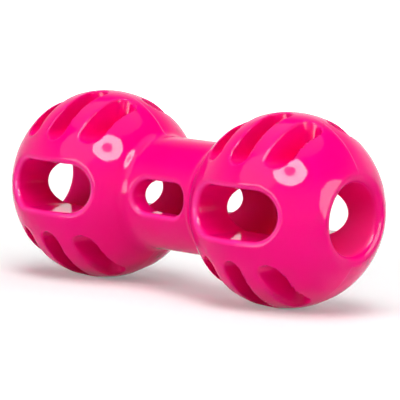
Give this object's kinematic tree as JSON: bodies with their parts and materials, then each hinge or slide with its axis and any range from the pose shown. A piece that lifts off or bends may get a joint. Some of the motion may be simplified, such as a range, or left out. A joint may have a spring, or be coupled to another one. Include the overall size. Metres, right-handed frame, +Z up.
{
  "type": "rubber chew toy",
  "caption": "Dumbbell-shaped rubber dog chew toy, moulded in one piece, with slotted and tooth-grooved balls joined by a slotted neck that flexes, and a bore from end to end.",
  "frame": {"origin": "middle of the toy, on the axis of the bore", "axes": "+X along the bore towards the right ball, +Y to the back along the slots, +Z up"},
  "size_m": [0.1376, 0.0608, 0.064],
  "materials": {
    "pink_rubber": "glossy moulded skin, hot pink, the same all through"
  },
  "bodies": {
    "left_end": {"left_ball": "pink_rubber", "neck": "pink_rubber"},
    "right_end": {"right_ball": "pink_rubber"}
  },
  "joints": [
    {"name": "neck_flex", "type": "hinge", "parent": "left_end", "child": "right_end", "pos_m": [0, 0, 0], "axis": [0, 0, 1], "range_deg": [-20, 20], "stiffness_Nm_per_rad": 5.8, "deforming": ["neck"]}
  ]
}
